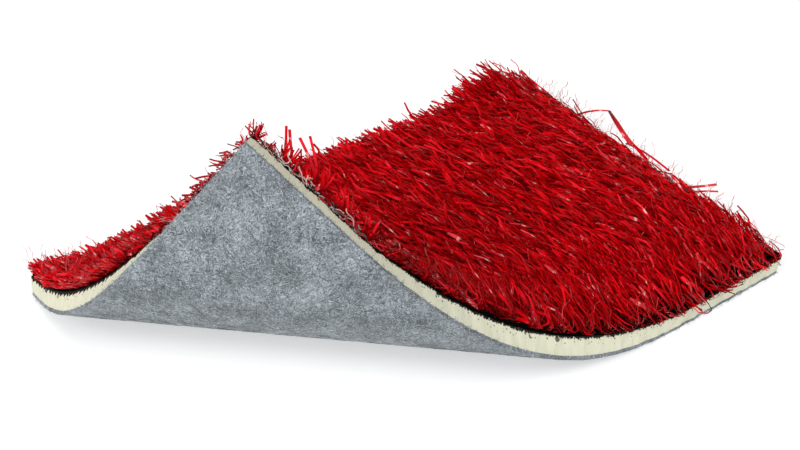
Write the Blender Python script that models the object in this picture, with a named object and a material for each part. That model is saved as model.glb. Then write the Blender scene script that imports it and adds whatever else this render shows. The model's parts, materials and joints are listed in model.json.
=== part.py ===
"""A sample-size crash landing mat with one corner lifted off the floor and folded over.

The mat is five flat layers glued into one springy sheet: needled felt, foam pad, rubber coat, woven
backing cloth and tufted turf pile. The origin is the middle of the felt's underside, +X runs along
the long side, +Y along the short side and +Z up. The lifted corner is the one at -X, -Y. The bend
is a chain of hinges on the felt's underside, all parallel to the fold line, and every layer is cut
into one strip for each stretch between two hinges, so that the layers can follow the bend.
"""

import math

import bmesh
import bpy
from mathutils import Matrix, Vector

# Driving dimensions, in metres and degrees.
LENGTH = 0.250
WIDTH = 0.150
GAP = 0.0003  # between neighbouring layers, and between neighbouring strips at rest

FELT_THICKNESS = 0.0012
FOAM_THICKNESS = 0.0065
COAT_THICKNESS = 0.0008
CLOTH_THICKNESS = 0.0006
PILE_HEIGHT = 0.016
CLOTH_INSET = 0.0004  # the cloth is cut this far inside the foam's edges
PILE_INSET = 0.0015  # the outermost tufts stand this far inside the foam's edges

FOLD_SLANT = 41.0  # from the short side to the line square to the fold
FLAP_REACH = 0.0325  # the flat corner past the bend, square to the fold
BEND_LENGTH = 0.095  # the felt's length round the bend, square to the fold
BEND_ANGLE = 109.2  # how far the corner is turned up at rest
EXTRA_BEND = 18.0  # how much further it can be turned before the pile is packed tight
BEND_HINGES = 6

# Worked out from the sizes above.
SLANT = math.radians(FOLD_SLANT)
CORNER = Vector((-LENGTH / 2, -WIDTH / 2, 0))
INWARD = Vector((math.sin(SLANT), math.cos(SLANT), 0))  # from the corner, square to the fold
UP = Vector((0, 0, 1))
HINGE_AXIS = UP.cross(INWARD)  # a positive turn about it lifts the corner
HINGE_SPACING = BEND_LENGTH / BEND_HINGES
HINGE_TURN = math.radians(BEND_ANGLE / BEND_HINGES)
CUT_TILT = math.radians((BEND_ANGLE + EXTRA_BEND) / BEND_HINGES) / 2
BEND_START = FLAP_REACH + BEND_LENGTH

# Name, thickness, inset from the mat's edges, colour and roughness, from the floor up.
LAYERS = [
    ("felt_backing", FELT_THICKNESS, 0.0, (0.33, 0.37, 0.40, 1), 0.95),
    ("foam_pad", FOAM_THICKNESS, 0.0, (0.76, 0.75, 0.60, 1), 0.85),
    ("rubber_coat", COAT_THICKNESS, CLOTH_INSET, (0.02, 0.02, 0.02, 1), 0.7),
    ("backing_cloth", CLOTH_THICKNESS, CLOTH_INSET, (0.03, 0.03, 0.03, 1), 0.8),
    ("turf_pile", PILE_HEIGHT, PILE_INSET, (0.45, 0.0, 0.01, 1), 0.45),
]
SECTIONS = ["main"] + [f"bend_{i}" for i in range(1, BEND_HINGES)] + ["corner"]


def hinge_point(number):
    """The point of hinge line 1, 2, ... of the flat mat that lies square in from the corner."""
    return CORNER + INWARD * (BEND_START - (number - 0.5) * HINGE_SPACING)


def flat_slab(bottom, thickness, inset):
    """The whole layer as it lies flat: a box as long and as wide as the mat, less its inset."""
    slab = bmesh.new()
    size = Matrix.Diagonal((LENGTH - 2 * inset, WIDTH - 2 * inset, thickness, 1))
    place = Matrix.Translation((0, 0, bottom + thickness / 2))
    bmesh.ops.create_cube(slab, size=1, matrix=place @ size)
    return slab


def cut_at_hinge(slab, number, side):
    """Keeps what lies beyond a hinge, with side 1 on the corner's side and -1 on the main panel's.

    The cut leans away from the hinge line by half of the hinge's full turn, so that two neighbours
    close up like the leaves of a fan as the corner is lifted, and stays half a gap clear of it.
    """
    outward = INWARD * (side * math.cos(CUT_TILT)) + UP * math.sin(CUT_TILT)
    lean = INWARD * (side * math.cos(HINGE_TURN / 2)) + UP * math.sin(HINGE_TURN / 2)
    cut = bmesh.ops.bisect_plane(
        slab,
        geom=slab.verts[:] + slab.edges[:] + slab.faces[:],
        plane_co=hinge_point(number) - lean * (GAP / 2),
        plane_no=outward,
        clear_outer=True,
    )
    rim = [edge for edge in cut["geom_cut"] if isinstance(edge, bmesh.types.BMEdge)]
    bmesh.ops.edgeloop_fill(slab, edges=rim)


def layer_material(name, colour, roughness):
    """One Principled material of a layer's own colour."""
    material = bpy.data.materials.new(name)
    material.use_nodes = True
    shader = material.node_tree.nodes["Principled BSDF"]
    shader.inputs["Base Color"].default_value = colour
    shader.inputs["Roughness"].default_value = roughness
    shader.inputs["Metallic"].default_value = 0.0
    return material


def strip(layer, section, bottom, parents):
    """One layer's piece of one section, cut from the flat layer and hung on that section's hinge."""
    name, thickness, inset, colour, roughness = layer
    slab = flat_slab(bottom, thickness, inset)
    if section > 0:
        cut_at_hinge(slab, section, 1)
    if section < BEND_HINGES:
        cut_at_hinge(slab, section + 1, -1)
    if section > 0:
        bmesh.ops.translate(slab, verts=slab.verts[:], vec=-hinge_point(section))
    bmesh.ops.recalc_face_normals(slab, faces=slab.faces[:])
    label = f"{name}_{SECTIONS[section]}"
    mesh = bpy.data.meshes.new(label)
    slab.to_mesh(mesh)
    slab.free()
    mesh.materials.append(layer_material(label, colour, roughness))
    piece = bpy.data.objects.new(label, mesh)
    piece.parent = parents[section]
    bpy.context.scene.collection.objects.link(piece)


def hinge_chain():
    """Nested empties, one on each hinge line, each turned up from the one before it.

    The first entry is None, for the main panel, which lies still on the floor.
    """
    chain = [None]
    for number in range(1, BEND_HINGES + 1):
        empty = bpy.data.objects.new(f"fold_{number}", None)
        start = hinge_point(number - 1) if number > 1 else Vector()
        turn = Matrix.Rotation(HINGE_TURN, 4, HINGE_AXIS)
        empty.parent = chain[-1]
        empty.matrix_local = Matrix.Translation(hinge_point(number) - start) @ turn
        empty.empty_display_size = HINGE_SPACING
        bpy.context.scene.collection.objects.link(empty)
        chain.append(empty)
    return chain


for old in list(bpy.data.objects):
    bpy.data.objects.remove(old)

hinges = hinge_chain()
height = 0.0
for layer in LAYERS:
    for section in range(len(SECTIONS)):
        strip(layer, section, height, hinges)
    height += layer[1] + GAP
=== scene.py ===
"""A turf-topped landing mat with one corner folded over, built up layer by layer round its frame.

The felt, foam, rubber, cloth and turf are each worked out as they lie flat, in metres, and one
function then lays them over the fold. Every layer is made zone by zone: the main panel, one zone
across each fold hinge, and the corner.
"""

import json

import bpy
import numpy as np
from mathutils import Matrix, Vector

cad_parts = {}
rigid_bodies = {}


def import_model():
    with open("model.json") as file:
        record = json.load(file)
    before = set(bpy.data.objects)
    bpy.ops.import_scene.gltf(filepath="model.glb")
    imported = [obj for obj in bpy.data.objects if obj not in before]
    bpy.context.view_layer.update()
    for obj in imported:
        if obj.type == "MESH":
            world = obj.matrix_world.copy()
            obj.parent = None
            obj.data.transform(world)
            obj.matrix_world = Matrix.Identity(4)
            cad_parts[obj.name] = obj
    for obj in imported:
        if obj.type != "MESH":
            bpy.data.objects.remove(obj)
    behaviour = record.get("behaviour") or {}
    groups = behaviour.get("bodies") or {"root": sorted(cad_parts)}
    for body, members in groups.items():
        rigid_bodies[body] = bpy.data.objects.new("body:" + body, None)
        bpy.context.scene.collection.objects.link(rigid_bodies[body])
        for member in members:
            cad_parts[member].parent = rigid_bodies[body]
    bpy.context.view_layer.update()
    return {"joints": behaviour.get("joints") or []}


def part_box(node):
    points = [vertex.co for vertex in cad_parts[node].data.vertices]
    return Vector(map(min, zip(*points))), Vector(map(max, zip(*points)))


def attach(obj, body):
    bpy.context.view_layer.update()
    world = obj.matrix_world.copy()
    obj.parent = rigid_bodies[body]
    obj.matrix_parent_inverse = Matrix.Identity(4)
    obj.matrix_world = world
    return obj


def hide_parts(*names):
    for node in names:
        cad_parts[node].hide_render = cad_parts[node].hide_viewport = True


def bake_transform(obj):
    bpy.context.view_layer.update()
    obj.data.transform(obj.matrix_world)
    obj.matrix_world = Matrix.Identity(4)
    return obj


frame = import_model()


# ---- The fold ---------------------------------------------------------------------------------
# The mat is one springy sheet. Its main panel lies flat on the floor, an even bend starts at
# bend_start, measured square in from the lifted corner, and the corner stands up past bend_end.
# The frame's fold hinges lie on the felt's underside, evenly spaced round that bend.

folds = frame["joints"]
bodies = [folds[0]["parent"]] + [fold["child"] for fold in folds]
hinge_points = np.array([fold["pos_m"] for fold in folds])
up = np.array([0.0, 0.0, 1.0])
fold_line = -np.array(folds[0]["axis"]) / np.linalg.norm(folds[0]["axis"])
inward = np.cross(up, fold_line)
mat_long, mat_short, _ = 2 * np.array(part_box("felt_backing_main")[1])
half_mat = np.array([mat_long, mat_short]) / 2
corner = np.array([-mat_long / 2, -mat_short / 2, 0.0])

first_step = hinge_points[1] - hinge_points[0]
spacing = np.linalg.norm(first_step)
turn = np.arcsin(first_step[2] / spacing)
bend_start = (hinge_points[0] - corner) @ inward + spacing / 2
bend_end = bend_start - len(folds) * spacing
bend_radius = spacing / (2 * np.tan(turn / 2))
farthest = mat_long * inward[0] + mat_short * inward[1]
zone_marks = [farthest, *(bend_start - spacing * np.arange(len(folds) + 1)), 0.0]
strips = ["main", *bodies[1:]]
zone_names = ["main", *(f"fold_{i + 1}" for i in range(len(folds))), "corner"]


def folded(flat):
    """Where points of the flat mat lie once its corner is folded over.

    Up to the bend's start a point stays where it is. In the bend, its distance past the start is
    an angle round the bend's centre, and its height brings it nearer to that centre. Past the
    bend it lies on the plane that the bend ends in.
    """
    reach = (flat - corner) @ inward
    across = (flat - corner) @ fold_line
    angle = np.clip((bend_start - reach) / spacing, 0, len(folds)) * turn
    past = np.clip(bend_end - reach, 0, None)
    swing = bend_radius - flat[..., 2]
    out = swing * np.sin(angle) + past * np.cos(angle)
    height = bend_radius - swing * np.cos(angle) + past * np.sin(angle)
    reach = np.maximum(reach, bend_start) - out
    return corner + reach[..., None] * inward + across[..., None] * fold_line + height[..., None] * up


def fit(piece, zone, layer):
    """Puts a zone's piece in its layer's place, where it stands in for the frame's part. The main panel
    and the corner ride on their bodies; a piece across a fold keeps the shape that it was laid over the
    fold in and rides on no body. The last fold lies between the strips that its neighbours replace."""
    if zone != len(folds):
        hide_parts(f"{layer}_{strips[min(zone, len(folds))]}")
    if zone in (0, len(folds) + 1):
        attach(piece, bodies[min(zone, len(folds))])
        return
    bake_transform(piece)


# ---- Felt backing -----------------------------------------------------------------------------
# Needle-punched polyester felt, laminated to the foam's underside so that the mat grips the floor.
# It is blue-grey with lighter and darker fibres carded in, and its cut edge is a little furry.

layers = ["felt_backing", "foam_pad", "rubber_coat", "backing_cloth", "turf_pile"]
felt_bottom, foam_bottom, rubber_bottom, cloth_bottom, turf_bottom = (
    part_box(f"{layer}_main")[0].z for layer in layers
)

wave_random = np.random.default_rng(11)
waves = wave_random.normal(size=(24, 3)) * [1100, 1100, 500]
wave_starts = wave_random.uniform(0, 2 * np.pi, 24)


def ripple(points):
    """A smooth random height at each point: 24 sine waves of random direction and a few
    millimetres' length, added up and scaled to a spread of about one."""
    return np.sin(points @ waves.T + wave_starts).sum(axis=-1) / 12**0.5


def outline(reach, inset):
    """The two ends, along the fold line, of the inset mat's width at each reach."""
    sin, cos = inward[0], inward[1]
    left = np.maximum((inset - reach * sin) / cos, (reach * cos - mat_short + inset) / sin)
    right = np.minimum((mat_long - inset - reach * sin) / cos, (reach * cos - inset) / sin)
    middle, half = (left + right) / 2, np.maximum((right - left) / 2, 1e-5)
    return middle - half, middle + half


def mesh_object(name, points, faces, flat=None):
    """A mesh object made of these points and of arrays of faces, shaded smooth. flat, the place
    of each point on the flat mat, is kept as an attribute, so that patterns follow the surface."""
    corners = np.concatenate([face.ravel() for face in faces])
    sizes = np.concatenate([np.full(len(face), face.shape[1]) for face in faces])
    mesh = bpy.data.meshes.new(name)
    mesh.vertices.add(len(points))
    mesh.vertices.foreach_set("co", points.astype(np.float32).ravel())
    mesh.loops.add(len(corners))
    mesh.loops.foreach_set("vertex_index", corners.astype(np.int32))
    mesh.polygons.add(len(sizes))
    mesh.polygons.foreach_set("loop_start", (np.cumsum(sizes) - sizes).astype(np.int32))
    mesh.update(calc_edges=True)
    mesh.shade_smooth()
    if flat is not None:
        attribute = mesh.attributes.new("flat", "FLOAT_VECTOR", "POINT")
        attribute.data.foreach_set("vector", flat.astype(np.float32).ravel())
    piece = bpy.data.objects.new(name, mesh)
    bpy.context.scene.collection.objects.link(piece)
    return piece


def layer_slab(name, zone, bottom, top, inset, cells, ragged, step):
    """A closed slab of one layer in one zone, laid over the fold.

    A ring runs round the slab's cross-section at every step of reach: along the bottom, up the
    right rim, back along the top and down the left rim. The mat's own corners get a ring too. The
    rim's points move in or out by a ripple of their flat place, so that the cut edge is a little
    ragged and runs on from zone to zone.
    """
    ends = inset * (inward[0] + inward[1])
    far, near = min(zone_marks[zone], farthest - ends), max(zone_marks[zone + 1], ends)
    knees = [mat_long * inward[0], mat_short * inward[1]]
    reaches = np.linspace(far, near, int((far - near) / step) + 2)
    reaches = np.unique([*reaches, *(knee for knee in knees if near < knee < far)])[::-1]
    along, rise = (np.linspace(0, 1, count + 1) for count in cells)
    share = np.concatenate([along, np.ones(cells[1] - 1), along[::-1], np.zeros(cells[1] - 1)])
    lift = np.concatenate([0 * along, rise[1:-1], 0 * along + 1, rise[-2:0:-1]])
    left, right = outline(reaches, inset)
    across = left[:, None] + (right - left)[:, None] * share
    flat = corner + reaches[:, None, None] * inward + across[..., None] * fold_line
    flat = flat + (bottom + (top - bottom) * lift)[:, None] * up
    side = flat[..., :2] / half_mat
    outward = np.sign(side) * (np.abs(side) >= np.abs(side).max(-1, keepdims=True))
    push = ragged * ripple(flat) * np.isin(share, (0, 1)) * np.clip((right - left) / 0.004, 0, 1)[:, None]
    place = flat.copy()
    place[..., :2] += outward * push[..., None]
    index = np.arange(share.size * reaches.size).reshape(reaches.size, share.size)
    walls = np.stack([index[:-1], np.roll(index, -1, 1)[:-1], np.roll(index, -1, 1)[1:], index[1:]], -1)
    low = np.arange(cells[0] + 1)
    high = cells[0] + cells[1] + low[::-1]
    caps = []
    for ring, turned in ((index[0], 1), (index[-1], -1)):
        cap = np.stack([ring[low[:-1]], ring[high[:-1]], ring[high[1:]], ring[low[1:]]], -1)
        caps.append(cap[:, ::turned])
    faces = [walls.reshape(-1, 4), *caps]
    piece = mesh_object(name, folded(place).reshape(-1, 3), faces, flat.reshape(-1, 3))
    piece.data.set_sharp_from_angle(angle=np.radians(50))
    return piece


def material(name, roughness, **sockets):
    """A Principled material with these plain values on the shader's own sockets."""
    made = bpy.data.materials.new(name)
    made.use_nodes = True
    shader = made.node_tree.nodes["Principled BSDF"]
    shader.inputs["Roughness"].default_value = roughness
    for socket, value in sockets.items():
        shader.inputs[socket.replace("_", " ")].default_value = value
    return made, made.node_tree, shader


def node(tree, kind, inputs, **settings):
    """A new node of this kind with its settings, and its inputs set to values or linked."""
    made = tree.nodes.new("ShaderNode" + kind)
    for key, value in settings.items():
        setattr(made, key, value)
    for key, value in inputs.items():
        if isinstance(value, bpy.types.NodeSocket):
            tree.links.new(value, made.inputs[key])
        else:
            made.inputs[key].default_value = value
    return made


def maths(tree, operation, *values):
    """The result of one Math node on these values."""
    return node(tree, "Math", dict(enumerate(values)), operation=operation).outputs[0]


def ramp(tree, factor, *stops):
    """A factor turned into a colour through (position, colour) stops."""
    made = node(tree, "ValToRGB", {"Fac": factor})
    elements = made.color_ramp.elements
    for element, (position, colour) in zip(elements, (stops[0], stops[-1])):
        element.position = position
        element.color = (*colour, 1)
    for position, colour in stops[1:-1]:
        elements.new(position).color = (*colour, 1)
    return made.outputs["Color"]


def over(tree, factor, under, top):
    """A colour mixed over another by a factor."""
    made = node(tree, "Mix", {0: factor, 6: under, 7: top}, data_type="RGBA")
    return made.outputs[2]


def grain_group():
    """Grain for a rough material: noise at a scale, stretched by a vector and turned, with drifts
    five times its size mixed in. Grain is one number round a half."""
    group = bpy.data.node_groups.new("grain", "ShaderNodeTree")
    for label, kind in (("Place", "Vector"), ("Stretch", "Vector"), ("Turn", "Vector"),
                        ("Scale", "Float"), ("Drift", "Float")):
        group.interface.new_socket(label, in_out="INPUT", socket_type="NodeSocket" + kind)
    group.interface.new_socket("Grain", in_out="OUTPUT", socket_type="NodeSocketFloat")
    given = group.nodes.new("NodeGroupInput").outputs
    turned = node(group, "Mapping", {"Vector": given["Place"], "Rotation": given["Turn"],
                                     "Scale": given["Stretch"]}).outputs[0]
    fine = node(group, "TexNoise", {"Vector": turned, "Scale": given["Scale"], "Detail": 3.0,
                                    "Roughness": 0.62}).outputs["Fac"]
    wide = node(group, "TexNoise", {"Vector": given["Place"], "Detail": 2.0,
                                    "Scale": maths(group, "MULTIPLY", given["Scale"], 0.2)})
    mixed = node(group, "Mix", {0: given["Drift"], 2: fine, 3: wide.outputs["Fac"]}).outputs[0]
    result = group.nodes.new("NodeGroupOutput")
    group.links.new(mixed, result.inputs["Grain"])
    return group


grain = grain_group()


def grained(tree, place, scale, drift=0.0, stretch=(1, 1, 1), turned=0.0):
    """The grain group placed in a material with its own values."""
    return node(tree, "Group", {"Place": place, "Scale": scale, "Drift": drift, "Stretch": stretch,
                                "Turn": (0, 0, turned)}, node_tree=grain).outputs["Grain"]


def flat_place(tree):
    """Each point's place on the flat mat, which patterns read so that they follow the surface."""
    return node(tree, "Attribute", {}, attribute_name="flat").outputs["Vector"]


def felt_material():
    """Mottled felt: clouds of light and dark fibre, and fine streaks of single fibres that wander
    in three directions and stand up as a nap."""
    made, tree, shader = material("felt", 0.95, Specular_IOR_Level=0.15, Sheen_Weight=0.15)
    flat = flat_place(tree)
    wander = node(tree, "TexNoise", {"Vector": flat, "Scale": 300.0, "Detail": 3.0})
    shift = node(tree, "VectorMath", {0: wander.outputs["Color"], "Scale": 0.006}, operation="SCALE")
    path = node(tree, "VectorMath", {0: flat, 1: shift.outputs[0]}).outputs[0]
    thin = (1, 0.16, 1)
    streaks = [grained(tree, path, 2400.0, 0.0, thin, angle) for angle in (0.4, 1.5, 2.5)]
    fibres = maths(tree, "MAXIMUM", maths(tree, "MAXIMUM", *streaks[:2]), streaks[2])
    tone = maths(tree, "MULTIPLY_ADD", maths(tree, "SUBTRACT", fibres, 0.58), 2.9, 0.47)
    specks = grained(tree, path, 1500.0)
    tone = maths(tree, "MULTIPLY_ADD", maths(tree, "SUBTRACT", specks, 0.5), 2.0, tone)
    clouds = grained(tree, flat, 340.0, 0.6)
    tone = maths(tree, "MULTIPLY_ADD", maths(tree, "SUBTRACT", clouds, 0.5), 1.5, tone)
    colour = ramp(tree, tone, (0.10, (0.085, 0.097, 0.106)), (0.38, (0.185, 0.207, 0.223)),
                  (0.62, (0.275, 0.310, 0.334)), (0.95, (0.46, 0.51, 0.545)))
    tree.links.new(colour, shader.inputs["Base Color"])
    bump = node(tree, "Bump", {"Height": fibres, "Strength": 0.7, "Distance": 0.0004})
    tree.links.new(bump.outputs[0], shader.inputs["Normal"])
    return made


felt = felt_material()
for zone, name in enumerate(zone_names):
    piece = layer_slab(f"felt_{name}", zone, felt_bottom, foam_bottom,
                       inset=0.0, cells=(24, 3), ragged=0.0001, step=0.001)
    piece.data.materials.append(felt)
    fit(piece, zone, "felt_backing")


# ---- Foam pad ---------------------------------------------------------------------------------
# Cream polyurethane foam, poured on in one sheet. The knife leaves fine upright streaks on its cut
# edge, bubbles lie open just under the rubber, and rubber soaks down between the stitches.


def foam_material():
    """Cream foam with fine knife streaks and pores, open bubbles near the top whose hollows are painted
    dark as shade, and a ragged dark line where the rubber has soaked in, which gets teeth along the
    mat's left-hand edge."""
    made, tree, shader = material("foam", 0.9, Specular_IOR_Level=0.15)
    flat = flat_place(tree)
    place = node(tree, "SeparateXYZ", {0: flat}).outputs
    streaks = grained(tree, flat, 2600.0, 0.1, (1, 1, 0.09))
    pores = grained(tree, flat, 3200.0, 0.2)
    mixed = maths(tree, "MULTIPLY_ADD", streaks, 0.6, maths(tree, "MULTIPLY", pores, 0.4))
    cream = ramp(tree, mixed, (0.32, (0.50, 0.49, 0.36)), (0.44, (0.65, 0.645, 0.495)),
                 (0.62, (0.71, 0.71, 0.555)))
    round_rim = maths(tree, "ADD", place["X"], place["Y"])
    rim_spot = node(tree, "CombineXYZ", {0: round_rim, 1: place["Z"]}).outputs[0]
    bubbles = []
    for scale, lowest, highest, biggest in ((240.0, 0.0050, 0.0072, 0.40), (700.0, 0.0020, 0.0070, 0.30)):
        cells = node(tree, "TexVoronoi", {"Vector": rim_spot, "Scale": scale}, voronoi_dimensions="2D")
        chance = node(tree, "SeparateColor", {0: cells.outputs["Color"]}).outputs["Red"]
        size = node(tree, "MapRange", {0: chance, 1: 0.45, 2: 1.0, 3: 0.0, 4: biggest}).outputs[0]
        risen = node(tree, "MapRange", {0: place["Z"], 1: lowest, 2: highest}).outputs[0]
        depth = maths(tree, "SUBTRACT", maths(tree, "MULTIPLY", size, risen), cells.outputs["Distance"])
        bubbles.append(maths(tree, "MULTIPLY", depth, 14.0))
    # Painted shade: the open bubbles' hollows are painted dark olive.
    bubble_shade = node(tree, "Clamp", {0: maths(tree, "MAXIMUM", *bubbles)}).outputs[0]
    cream_with_bubble_shade = over(tree, bubble_shade, cream, (0.12, 0.115, 0.075, 1))
    drip = grained(tree, flat, 2100.0, 0.35, (1, 1, 0.5))
    soak = maths(tree, "MULTIPLY_ADD", drip, -0.0052, 0.0102)
    slanted = maths(tree, "MULTIPLY_ADD", place["Z"], 0.8, place["Y"])
    half_tooth = 0.0015
    teeth = maths(tree, "PINGPONG", slanted, half_tooth)
    toothed = maths(tree, "MULTIPLY_ADD", teeth, 0.9, 0.0064)
    left_edge = maths(tree, "LESS_THAN", place["X"], 0.001 - mat_long / 2)
    bitten = node(tree, "Mix", {0: left_edge, 2: 1.0, 3: toothed}).outputs[0]
    line = maths(tree, "MINIMUM", soak, bitten)
    soaked = maths(tree, "GREATER_THAN", place["Z"], line)
    tree.links.new(over(tree, soaked, cream_with_bubble_shade, (0.012, 0.012, 0.009, 1)), shader.inputs["Base Color"])
    bump = node(tree, "Bump", {"Height": mixed, "Strength": 0.35, "Distance": 0.0003})
    tree.links.new(bump.outputs[0], shader.inputs["Normal"])
    return made


foam = foam_material()
for zone, name in enumerate(zone_names):
    piece = layer_slab(f"foam_{name}", zone, foam_bottom, rubber_bottom,
                       inset=0.0, cells=(6, 12), ragged=0.00012, step=0.0006)
    piece.data.materials.append(foam)
    fit(piece, zone, "foam_pad")


# ---- Rubber coat ------------------------------------------------------------------------------
# Black latex spread over the back of the turf to lock its tufts. It is matt and granular, and the
# knife tears its edge more than the foam's.


def rubber_material():
    """Granular black latex with paler dusty spots."""
    made, tree, shader = material("rubber", 0.9, Specular_IOR_Level=0.02)
    crumbs = grained(tree, flat_place(tree), 1800.0, 0.3)
    colour = ramp(tree, crumbs, (0.40, (0.0008, 0.0008, 0.0008)), (0.66, (0.003, 0.003, 0.003)),
                  (0.76, (0.06, 0.056, 0.05)))
    tree.links.new(colour, shader.inputs["Base Color"])
    bump = node(tree, "Bump", {"Height": crumbs, "Strength": 0.8, "Distance": 0.0005})
    tree.links.new(bump.outputs[0], shader.inputs["Normal"])
    return made


rubber = rubber_material()
for zone, name in enumerate(zone_names):
    piece = layer_slab(f"rubber_{name}", zone, rubber_bottom, cloth_bottom,
                       inset=0.0003, cells=(6, 3), ragged=0.0002, step=0.0006)
    piece.data.materials.append(rubber)
    fit(piece, zone, "rubber_coat")


# ---- Backing cloth ----------------------------------------------------------------------------
# Black polypropylene tape, plain-woven, that the turf is stitched through. Little of it shows: a
# strip along the edges outside the last tufts, and the ground between the blades.


def cloth_material():
    """Plain weave: flat tapes that pass over and under each other, by two waves of the flat place,
    with a slight shine painted on the crowns as a lighter colour."""
    made, tree, shader = material("backing_cloth", 0.9, Specular_IOR_Level=0.02)
    place = node(tree, "SeparateXYZ", {0: flat_place(tree)}).outputs
    warp = maths(tree, "SINE", maths(tree, "MULTIPLY", place["X"], 2 * np.pi / 0.0018))
    weft = maths(tree, "SINE", maths(tree, "MULTIPLY", place["Y"], 2 * np.pi / 0.0022))
    weave = maths(tree, "MULTIPLY_ADD", maths(tree, "MULTIPLY", warp, weft), 0.5, 0.5)
    # Painted shine: the crowns are painted lighter and the dips darker.
    colour = ramp(tree, weave, (0.1, (0.0005, 0.0005, 0.0005)), (0.9, (0.003, 0.003, 0.003)))
    tree.links.new(colour, shader.inputs["Base Color"])
    bump = node(tree, "Bump", {"Height": weave, "Strength": 0.9, "Distance": 0.0004})
    tree.links.new(bump.outputs[0], shader.inputs["Normal"])
    return made


cloth = cloth_material()
cloth_inset = 0.0004
for zone, name in enumerate(zone_names):
    piece = layer_slab(f"cloth_{name}", zone, cloth_bottom, turf_bottom,
                       inset=cloth_inset, cells=(6, 2), ragged=0.00015, step=0.0006)
    piece.data.materials.append(cloth)
    fit(piece, zone, "backing_cloth")


# ---- Turf pile --------------------------------------------------------------------------------
# Red polyethylene ribbon, tufted in rows along the short side. A tuft is a fan of blades that rise
# steeply, then lie over the next tufts, nearly level and kinked all along, with blunt cut tips.

row_gap, stitch_gap = 0.0060, 0.0044
blades_per_tuft = 27
blade_steps = 5
turf_random = np.random.default_rng(5)


def aimed(tilt, heading):
    """Unit directions from an angle from upright and a direction in plan."""
    return np.stack([np.sin(tilt) * np.cos(heading), np.sin(tilt) * np.sin(heading), np.cos(tilt)], -1)


def strand_paths(root, length, ahead, flank, roll):
    """Centre lines, sides and faces of strands, as arrays of strand by point.

    ahead is the strand's direction at each point, and its centre line is their running sum. flank
    is the level direction that its width lies along, before it rolls about its own line.
    """
    steps = (ahead[:, 1:] + ahead[:, :-1]) / 2 * (length / (ahead.shape[1] - 1))[:, None, None]
    path = root[:, None] + np.concatenate([0 * steps[:, :1], np.cumsum(steps, axis=1)], 1)
    side = np.cos(roll)[..., None] * flank + np.sin(roll)[..., None] * np.cross(ahead, flank)
    return path, side, np.cross(ahead, side)


def strand_mesh(name, path, side, face, width, thick, tone, lowest=-1.0):
    """Closed strands of a flat three-cornered section, laid over the fold.

    A section has a left edge, a raised middle and a right edge. In the map each strand is a narrow
    column: its tone is the place across the map, and its length runs up it.
    """
    wide = side * (width / 2)[..., None]
    rings = np.stack([path - wide, path + face * (thick * width)[..., None], path + wide], 2)
    rings[..., 2] = np.maximum(rings[..., 2], lowest)
    count, points = path.shape[:2]
    index = np.arange(count * points * 3).reshape(count, points, 3)
    beside = np.roll(index, -1, 2)
    quads = np.stack([index[:, :-1], index[:, 1:], beside[:, 1:], beside[:, :-1]], -1).reshape(-1, 4)
    piece = mesh_object(name, folded(rings).reshape(-1, 3), [quads, index[:, 0], index[:, -1, ::-1]])
    mesh = piece.data
    edges = np.empty(len(mesh.edges) * 2, np.int32)
    mesh.edges.foreach_get("vertices", edges)
    lanes = edges.reshape(-1, 2) % 3
    sharp = (lanes[:, 0] == lanes[:, 1]) & (lanes[:, 0] != 1)
    mesh.attributes.new("sharp_edge", "BOOLEAN", "EDGE").data.foreach_set("value", sharp)
    column = 0.02 + 0.96 * tone[:, None, None] + np.array([-0.01, 0, 0.01])
    across, along = np.broadcast_arrays(column, np.linspace(0, 1, points)[None, :, None])
    corners = np.empty(len(mesh.loops), np.int32)
    mesh.loops.foreach_get("vertex_index", corners)
    spots = np.stack([across.ravel(), along.ravel()], 1)[corners]
    mesh.uv_layers.new(name="OFBake").data.foreach_set("uv", spots.astype(np.float32).ravel())
    return piece


def zone_of(places):
    """The zone that each flat place lies in."""
    reach = (places[:, :2] - corner[:2]) @ inward[:2]
    return (reach[:, None] < np.array(zone_marks[1:-1])).sum(axis=1)


def strand_pieces(name, layer, finish, strands, lowest=-1.0):
    """One piece of strands for each zone that their roots lie in, or more where the zone's strands
    would make too big a mesh. Strands are arrays with one row each: path, side, face and so on."""
    zones = zone_of(strands[0][:, 0])
    biggest_mesh, triangles_a_point = 190_000, 6
    most = biggest_mesh // (strands[0].shape[1] * triangles_a_point)
    for zone, zone_name in enumerate(zone_names):
        own = np.flatnonzero(zones == zone)
        parts = -(-len(own) // most)
        for part, rows in enumerate(np.array_split(own, max(parts, 1))):
            if len(rows):
                label = f"{name}_{zone_name}" + (f"_{part + 1}" if parts > 1 else "")
                piece = strand_mesh(label, *(values[rows] for values in strands), lowest)
                piece.data.materials.append(finish)
                fit(piece, zone, layer)


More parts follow.
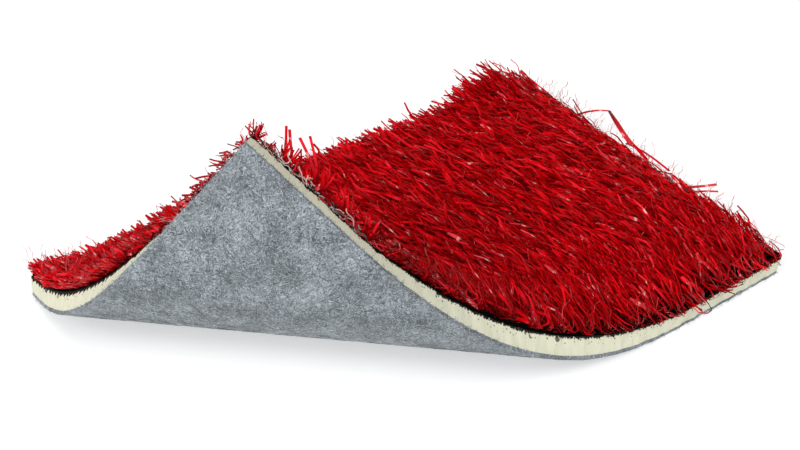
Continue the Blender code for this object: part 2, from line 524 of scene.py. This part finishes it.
def strand_material(name, roughness, tones, painted_root_shade, gloss=0.0, painted_glint=None, **sockets):
    """A strand's finish: a colour by its tone, times a painted root shade that darkens it from its tip
    down to its root, deep in the pile. A glint is a painted highlight, given as a least tone and a
    colour: strands from that tone up have the colour over a short stretch, two thirds of the way to
    the tip. Gloss makes brighter strands smoother."""
    made, tree, shader = material(name, roughness, **sockets)
    spot = node(tree, "SeparateXYZ", {0: node(tree, "UVMap", {}, uv_map="OFBake").outputs[0]}).outputs
    body, shade = ramp(tree, spot["X"], *tones), ramp(tree, spot["Y"], *painted_root_shade)
    shaded = node(tree, "Mix", {0: 1.0, 6: body, 7: shade}, data_type="RGBA", blend_type="MULTIPLY")
    colour = shaded.outputs[2]
    # Painted highlight: a short pale stretch on the brightest strands, two thirds of the way to the tip.
    if painted_glint:
        least_tone, pale_colour = painted_glint
        off, on = (0, 0, 0), (1, 1, 1)
        stretch = ramp(tree, spot["Y"], (0.66, off), (0.69, on), (0.74, on), (0.77, off))
        bright = ramp(tree, spot["X"], (least_tone, off), (least_tone + 0.015, on))
        colour = over(tree, maths(tree, "MULTIPLY", stretch, bright), colour, (*pale_colour, 1))
    tree.links.new(colour, shader.inputs["Base Color"])
    if gloss:
        smoother = maths(tree, "MULTIPLY_ADD", spot["X"], -gloss, roughness)
        tree.links.new(smoother, shader.inputs["Roughness"])
    return made


def smooth(value):
    """0 up to 0, 1 from 1, and an even S between."""
    value = np.clip(value, 0, 1)
    return value * value * (3 - 2 * value)


def tuft_feet():
    """The tufts' feet on the flat mat: stitches along rows, each row half a stitch on from the last,
    all a little out of true. The knife ran a little askew to the rows, so that bare backing widens
    to the right along the near side, and to the back along the left side."""
    first, last = 0.0009 - half_mat, half_mat - 0.0006
    rows = np.arange(first[0], last[0], row_gap)
    stitches = np.arange(first[1], last[1], stitch_gap)
    x, y = np.meshgrid(rows, stitches, indexing="ij")
    y = y + (np.arange(len(rows)) % 2 * stitch_gap / 2)[:, None]
    x, y = np.stack([x.ravel(), y.ravel()]) + turf_random.normal(0, 0.0004, (2, x.size))
    left_bare = 0.0007 + 0.0012 * smooth((y - 0.03) / 0.04)
    near_bare = 0.0006 + 0.0013 * smooth((x - 0.06) / 0.05)
    right, far = half_mat - 0.0008
    x = np.clip(x, left_bare - mat_long / 2, right)
    return np.stack([x, np.clip(y, near_bare - mat_short / 2, far)], 1)


def lean_room(places, way):
    """How far each place is from the mat's edge along its own way in plan."""
    return ((half_mat * np.sign(way) - places) / way).min(axis=1)


def blades(feet):
    """Paths and sizes of all the blades of these tufts.

    A blade starts in a direction of its own and bends over to lie along the pile, kinked all the
    way. The pile stands up along the near edge and at the far right-hand corner, lies flatter
    farther in, and is low and pressed at the back of the left end. Beside the lifted corner, blades
    fan out past the near edge. Blades that would hang over another edge were cut with the mat, so
    they stop just past it.
    """
    count = len(feet) * blades_per_tuft
    t = np.linspace(0, 1, blade_steps + 1)
    tuft = np.repeat(np.arange(len(feet)), blades_per_tuft)
    root = feet[tuft] + turf_random.normal(0, 0.0007, (count, 2))
    x, y = root[:, 0] / (mat_long / 2), root[:, 1] / (mat_short / 2)
    inside = smooth((y + 1) * 1.25)
    near_rim = 1 - smooth((y + 1) / 0.07)
    left_rim = (1 - smooth((x + 1) / 0.045)) * smooth((y + 0.15) / 0.1) * (y < 0.72)
    right_rim = 1 - smooth((1 - x) / 0.16)
    pressed = smooth((-x - 0.45) / 0.30) * smooth((y + 0.2) / 0.6)
    proud = smooth((x - 0.60) / 0.2) * smooth((y - 0.66) / 0.25) * (1 - 0.7 * smooth((x - 0.88) / 0.1))
    broad = turf_random.uniform(0, 1, count) > 0.90
    lay = np.radians(120 + 8 * inside + 9 * x) + turf_random.normal(0, 0.12, len(feet))[tuft]
    length = turf_random.normal(0.0168, 0.0028, count).clip(0.009, 0.025)
    length = length * (1 - 0.38 * pressed - 0.15 * right_rim + 0.26 * proud) * np.where(broad, 0.85, 1)
    lying = 50 + 31 * inside + 5 * x + 12 * pressed - 20 * proud
    last_tilt = np.radians(turf_random.normal(lying, 14)).clip(0.3, 1.75)
    last_heading = lay + turf_random.normal(0, 0.24, count)
    fan_room = (1 - smooth((y + 1) / 0.16)) * smooth((-0.55 - x) / 0.2)
    fan = turf_random.uniform(0, 1, count) < 0.9 * fan_room
    last_heading = np.where(fan, np.radians(turf_random.normal(232, 28, count)), last_heading)
    last_tilt = np.where(fan, np.radians(turf_random.normal(68, 12, count)), last_tilt)
    length = np.where(fan, length * (0.28 + 0.28 * smooth((x + 0.97) / 0.12)), length)
    way = np.stack([np.cos(lay), np.sin(lay)], 1)
    spare = turf_random.uniform(0.0005, 0.0050, count) * np.where(pressed > 0.3, 0.35, 1)
    room = lean_room(root, way) + spare + 0.0015 * (y < -0.2) + 0.02 * proud
    kept = np.where(fan, 1, np.clip(room / (0.80 * length * np.sin(last_tilt)), 0.40, 1))
    t_own = t * kept[:, None]

    first_tilt = np.radians(turf_random.uniform(0, 32, count) + 28 * right_rim + 12 * pressed)
    first_heading = lay + turf_random.normal(0, 1.1, count) * (1 - 0.7 * right_rim)
    outward = turf_random.uniform(0, 1, count) < 0.80 * np.maximum(near_rim, left_rim)
    first_tilt = np.where(outward, np.radians(turf_random.uniform(60, 128, count)), first_tilt)
    rim_heading = np.where(near_rim > left_rim, -np.pi / 2, np.pi)
    first_heading = np.where(outward, rim_heading + turf_random.normal(0, 0.55, count), first_heading)
    start = aimed(first_tilt, first_heading)[:, None]
    end = aimed(last_tilt, last_heading)[:, None]
    bend = smooth(t_own / turf_random.uniform(0.40, 0.80, count)[:, None])[..., None]
    ahead = start + (end - start) * bend + turf_random.normal(0, 0.20, (count, len(t), 3))
    ahead /= np.linalg.norm(ahead, axis=-1, keepdims=True)
    flank = np.stack([-np.sin(last_heading), np.cos(last_heading), 0 * last_heading], -1)[:, None]
    roll = turf_random.normal(0, 0.5, (count, 1)) + turf_random.normal(0, 0.6, (count, 1)) * t_own
    foot = np.column_stack([root, np.full(count, turf_bottom - 0.0003)])
    path, side, face = strand_paths(foot, length * kept, ahead, flank, roll)
    width = turf_random.normal(0.00088, 0.00018, count).clip(0.0005, 0.0013) * (0.66 + 0.34 * inside)
    width = np.where(broad, 0.00145, width)
    taper = np.interp(t, [0, 0.2, 0.9, 1], [0.75, 1, 1, 0.85])
    # The broad blades get the brighter, pinker tones: partly their own colour and partly painted highlight
    # on their flat faces.
    tone = np.where(broad, turf_random.uniform(0.6, 1, count), turf_random.beta(1.6, 1.9, count))
    # Painted light: blades at the pressed left end are lightened where the light from the left falls on
    # them.
    tone = tone + 0.35 * pressed * (1 - tone)
    return path, side, face, width[:, None] * taper, np.full((count, 1), 0.10), tone


# The second list is painted root shade: each blade darkens towards its root, where the pile around it
# shades it.
turf = strand_material(
    "turf_blade", 0.42,
    # The pink top tones are partly the blades' colour and partly painted highlight.
    [(0.05, (0.24, 0.0, 0.0005)), (0.40, (0.47, 0.0, 0.001)), (0.76, (0.72, 0.0008, 0.006)),
     (0.90, (0.80, 0.02, 0.035)), (1.0, (0.84, 0.11, 0.13))],
    [(0.0, (0.16, 0.15, 0.15)), (0.45, (0.72, 0.72, 0.72)), (0.75, (1, 1, 1)), (1.0, (1, 1, 1))],
    gloss=0.14, painted_glint=(0.87, (0.95, 0.44, 0.40)),
    Specular_IOR_Level=0.5, Specular_Tint=(1, 0.07, 0.09, 1))
feet = tuft_feet()
strand_pieces("turf", "turf_pile", turf, blades(feet), cloth_bottom - 0.0002)


def bent_strands(points, width, tone, steps=8):
    """Strands through given points in millimetres on the flat mat, heights above its backing, each
    with its flat side up."""
    t = np.linspace(0, 1, steps + 1)
    given = np.array(points) / 1000 + [0, 0, turf_bottom]
    knots = np.linspace(0, 1, given.shape[1])
    path = np.stack([[np.interp(t, knots, one[:, axis]) for axis in range(3)] for one in given])
    path = path.transpose(0, 2, 1)
    ahead = np.gradient(path, axis=1)
    ahead /= np.linalg.norm(ahead, axis=-1, keepdims=True)
    side = np.cross(ahead, up)
    side /= np.linalg.norm(side, axis=-1, keepdims=True)
    shape = np.ones((len(given), 1))
    return (path, side, np.cross(side, ahead), np.array(width)[:, None] * shape * np.ones(steps + 1),
            0.12 * shape, np.array(tone))


# Loose blades that stand clear of the rest: beside the lifted corner, off the right-hand edge and
# at the far corner.
loose = [
    [(-112, -74, 0), (-114, -77, 3), (-117, -80, 4), (-119.5, -83, 4)],
    [(-110, -74, 0), (-112, -77.5, 3), (-115.5, -80, 5), (-118, -82.5, 5)],
    [(-98.5, -73, 0), (-101, -77, 3), (-107.5, -80.5, 4), (-114, -83.5, 3)],
    [(-98, -73, 0), (-100.5, -77.5, 3), (-106.5, -82, 4), (-112, -85.5, 5)],
    [(124, 44, 1), (129, 42, 2), (134, 40, 2), (139, 38, 1)],
    [(139, 38, 1), (135, 30, 1), (131, 21, 1), (127.5, 12, 1)],
    [(139, 38, 1), (134.5, 28, 2), (130.5, 17, 1), (127, 5, 1)],
    [(128, 15, 0), (128.5, 6, 1), (128.5, -2, 1), (127.5, -12, 1)],
    [(124, -24, 1), (128, -26, 1), (132, -28, 1), (137, -30, 1)],
    [(124, -25.5, 0), (127, -28, 0), (131, -30, 0), (135, -33, 0)],
    [(116, 73, 2), (111, 76, 11), (106, 79, 16), (102, 81, 18)],
    [(112, 73, 2), (108, 77, 10), (103, 80, 14), (98, 83, 15)],
    [(116, 72, 2), (115, 75, 9), (114, 77, 15), (111, 79, 18)],
    [(109, 73, 2), (105, 76, 9), (100, 79, 12), (95, 82, 14)],
]
loose_width = [0.0009, 0.001, 0.001, 0.0009, 0.0015, 0.0016, 0.0012, 0.0013, 0.0017, 0.0013,
               0.0011, 0.0011, 0.0011, 0.0011]
loose_tone = [0.8, 0.9, 0.9, 0.85, 0.9, 0.92, 0.85, 0.8, 0.95, 0.9, 0.8, 0.9, 0.7, 0.85]
strand_pieces("loose", "turf_pile", turf, bent_strands(loose, loose_width, loose_tone))


# ---- Curled thatch ----------------------------------------------------------------------------
# Fine crimped red yarn, stitched in with the blades to hold them up. It springs out in small
# curls low in the pile and along the mat's edges.


def curls(root, length, width, tilt, heading, swing, coils, points):
    """Crimped strands: tilt and heading swing to and fro along each strand, coils times over."""
    count = len(root)
    t = np.linspace(0, 1, points + 1)[None]
    phase = turf_random.uniform(0, 2 * np.pi, (2, count, 1))
    beat = 2 * np.pi * coils * turf_random.uniform(0.7, 1.3, (count, 1))
    drift = turf_random.normal(0, 1, (count, 1))
    tilt = tilt[:, None] + swing * 0.6 * np.sin(beat * t + phase[0])
    heading = heading[:, None] + swing * (np.sin(0.8 * beat * t + phase[1]) + t * drift)
    flank = np.stack([-np.sin(heading), np.cos(heading), 0 * heading], -1)
    path, side, face = strand_paths(root, length, aimed(tilt, heading), flank, 0 * tilt)
    return path, side, face, np.broadcast_to(width[:, None], tilt.shape), np.full((count, 1), 0.4)


thatch_feet = np.repeat(feet, 2, axis=0) + turf_random.normal(0, 0.0010, (2 * len(feet), 2))
thatch_feet = np.clip(thatch_feet, -half_mat, half_mat)
count = len(thatch_feet)
thatch = curls(
    np.column_stack([thatch_feet, np.full(count, turf_bottom)]), turf_random.uniform(0.008, 0.015, count),
    turf_random.uniform(0.00014, 0.00026, count), np.radians(turf_random.uniform(10, 60, count)),
    turf_random.uniform(0, 2 * np.pi, count), swing=1.0, coils=2.6, points=12)
# The second list is painted root shade: each curl darkens towards its root, low in the pile.
thatch_yarn = strand_material(
    "thatch_yarn", 0.5,
    [(0.1, (0.30, 0.0, 0.002)), (0.7, (0.62, 0.004, 0.012)), (0.95, (0.80, 0.12, 0.13))],
    [(0.0, (0.4, 0.4, 0.4)), (0.5, (1, 1, 1))],
    Specular_IOR_Level=0.4, Specular_Tint=(1, 0.3, 0.3, 1))
strand_pieces("thatch", "turf_pile", thatch_yarn, (*thatch, turf_random.uniform(0, 1, count)), turf_bottom)

# Frayed threads of the backing along the near side's cut edge, most of them towards the lifted
# corner: black tape, undyed white yarn, and red yarn pulled out of the stitches.
count = 120
frayed = -0.1215 + 0.046 * turf_random.uniform(0, 1, count) ** 1.3
frayed_root = np.column_stack([frayed, turf_random.normal(-mat_short / 2 - 0.0002, 0.0003, count),
                               turf_random.uniform(cloth_bottom - 0.0009, turf_bottom + 0.0002, count)])
threads = curls(
    frayed_root, turf_random.uniform(0.002, 0.0075, count), turf_random.uniform(0.00022, 0.00042, count),
    np.radians(turf_random.normal(88, 12, count)),
    turf_random.normal(0, 0.25, count) + np.pi * turf_random.integers(0, 2, count),
    swing=0.5, coils=1.3, points=10)
unshaded = [(0.0, (1, 1, 1)), (1.0, (1, 1, 1))]
fray = strand_material(
    "frayed_thread", 0.6,
    [(0.32, (0.004, 0.004, 0.004)), (0.40, (0.16, 0.15, 0.14)), (0.52, (0.66, 0.64, 0.58)),
     (0.74, (0.66, 0.40, 0.37)), (0.84, (0.62, 0.01, 0.02))],
    unshaded, Specular_IOR_Level=0.3)
strand_pieces("fray", "backing_cloth", fray, (*threads, turf_random.uniform(0, 1, count)))

# Loops of thatch sprung out past the right-hand edge.
count = 26
loop_root = np.column_stack([turf_random.normal(mat_long / 2 - 0.0003, 0.0004, count),
                             turf_random.uniform(-0.055, 0.072, count), np.full(count, turf_bottom)])
loops = curls(
    loop_root, turf_random.uniform(0.006, 0.014, count), turf_random.uniform(0.00018, 0.00030, count),
    np.radians(turf_random.normal(50, 20, count)), turf_random.normal(0.4, 0.8, count),
    swing=1.2, coils=1.8, points=14)
strand_pieces("loops", "turf_pile", thatch_yarn, (*loops, turf_random.uniform(0.2, 1, count)), turf_bottom)


# ---- Felt nap ---------------------------------------------------------------------------------
# Single polyester fibres lying on the felt's underside, light and dark, and a fringe of short ones
# where the knife cut through it.

count = 6000
nap_height = felt_bottom - 0.00004
nap_root = turf_random.uniform(-1, 1, (count, 2)) * half_mat * 0.985
nap = curls(
    np.column_stack([nap_root, np.full(count, nap_height)]),
    turf_random.uniform(0.002, 0.0055, count), turf_random.uniform(0.00008, 0.00014, count),
    np.full(count, np.pi / 2), turf_random.uniform(0, 2 * np.pi, count),
    swing=0.45, coils=0.8, points=6)
nap[0][..., 2] = nap_height + turf_random.uniform(-0.00006, 0.00003, (count, 1))
nap[0][..., :2] = np.clip(nap[0][..., :2], -half_mat, half_mat)
nap_fibre = strand_material(
    "nap_fibre", 0.8,
    [(0.25, (0.07, 0.08, 0.088)), (0.45, (0.18, 0.20, 0.215)), (0.70, (0.35, 0.39, 0.42)),
     (0.97, (0.56, 0.60, 0.63))],
    unshaded, Specular_IOR_Level=0.2)
strand_pieces("nap", "felt_backing", nap_fibre, (*nap, turf_random.uniform(0, 1, count)))

# A dark hair and a few stray specks caught in the nap of the lifted corner, just under the felt.
caught_level = -9.2
caught_places = [
    [(-114.8, -53.4), (-113.6, -51.5), (-112.8, -51.8), (-111.2, -49.6)],
    [(-112, -50.4), (-111.5, -50.3), (-111, -50.4), (-110.4, -50.9)],
    [(-104.9, -64.4), (-104.7, -64.3), (-104.5, -64.1), (-104.3, -63.9)],
    [(-83.1, -47.9), (-82.9, -47.8), (-82.7, -47.7), (-82.4, -47.6)],
]
caught = [[(*place, caught_level) for place in places] for places in caught_places]
speck = strand_material(
    "caught_speck", 0.7, [(0.2, (0.02, 0.018, 0.016)), (0.8, (0.42, 0.28, 0.13))], unshaded)
strand_pieces("caught", "felt_backing", speck, bent_strands(
    caught, [0.0003, 0.0003, 0.0005, 0.0005], [0.1, 0.1, 0.9, 0.6]))

# The fringe: fibres from random places round the felt's cut edge, most of them pointing outward.
count = 2600
rim = turf_random.uniform(0, 2 * (mat_long + mat_short), count)
turns = np.cumsum([0, mat_long, mat_short, mat_long])
rim_side = (rim[:, None] >= turns).sum(axis=1) - 1
rim_along = rim - turns[rim_side]
rim_way = rim_side * np.pi / 2
rim_from = np.array([[-mat_long, -mat_short], [mat_long, -mat_short], [mat_long, mat_short],
                     [-mat_long, mat_short]])[rim_side] / 2
rim_place = rim_from + rim_along[:, None] * np.stack([np.cos(rim_way), np.sin(rim_way)], 1)
fringe = curls(
    np.column_stack([rim_place, turf_random.uniform(felt_bottom, foam_bottom + 0.0001, count)]),
    turf_random.uniform(0.0006, 0.0016, count), turf_random.uniform(0.00008, 0.00014, count),
    np.radians(turf_random.normal(90, 25, count)),
    rim_way - np.pi / 2 + turf_random.normal(0, 0.9, count), swing=0.5, coils=0.8, points=4)
strand_pieces("fringe", "felt_backing", nap_fibre, (*fringe, turf_random.uniform(0.2, 1, count)),
              felt_bottom - 0.0002)


# ---- Floor, light and camera ------------------------------------------------------------------
# A plain pale floor, a soft light from above and a softer one from the left, and the camera above
# and in front of the lifted corner.

bpy.ops.mesh.primitive_plane_add(size=6, location=(0, 0, -0.0003))
floor = bpy.context.object
floor.name = "floor"
pale, _, shader = material("pale_floor", 0.9, Base_Color=(0.62, 0.62, 0.62, 1), Specular_IOR_Level=0.0,
                           Emission_Color=(1, 1, 1, 1), Emission_Strength=0.42)
floor.data.materials.append(pale)

world = bpy.data.worlds.new("studio")
bpy.context.scene.world = world
world.use_nodes = True
backdrop = world.node_tree.nodes["Background"]
seen = node(world.node_tree, "LightPath", {}).outputs["Is Camera Ray"]
strength = maths(world.node_tree, "MULTIPLY_ADD", seen, 0.65, 0.35)
world.node_tree.links.new(strength, backdrop.inputs["Strength"])
backdrop.inputs["Color"].default_value = (1, 1, 1, 1)

aim = np.array([0.0178, 0.0339, 0.0])


def look_from(thing, azimuth, elevation, distance):
    """Puts a lamp or camera at this distance from the aim point and turns it to face it. Azimuth 0
    looks along +Y, and elevation is above the floor, both in degrees."""
    a, e = np.radians([azimuth, elevation])
    back = np.array([np.sin(a) * np.cos(e), -np.cos(a) * np.cos(e), np.sin(e)])
    thing.location = aim + back * distance
    thing.rotation_euler = (np.pi / 2 - e, 0, a)
    bpy.context.scene.collection.objects.link(thing)


for label, azimuth, elevation, softness, power in (
    ("key_light", 0, 60, 25, 1.45),
    ("fill_light", -80, 38, 45, 1.75),
):
    lamp = bpy.data.lights.new(label, "SUN")
    lamp.angle = np.radians(softness)
    lamp.energy = power
    look_from(bpy.data.objects.new(label, lamp), azimuth, elevation, 1.0)

lens = bpy.data.cameras.new("camera")
lens.lens = 45
lens.sensor_width = 36
lens.clip_start = 0.01
camera = bpy.data.objects.new("camera", lens)
look_from(camera, -33.9, 39.25, 0.422)
bpy.context.scene.camera = camera
bpy.context.scene.view_settings.view_transform = "Standard"
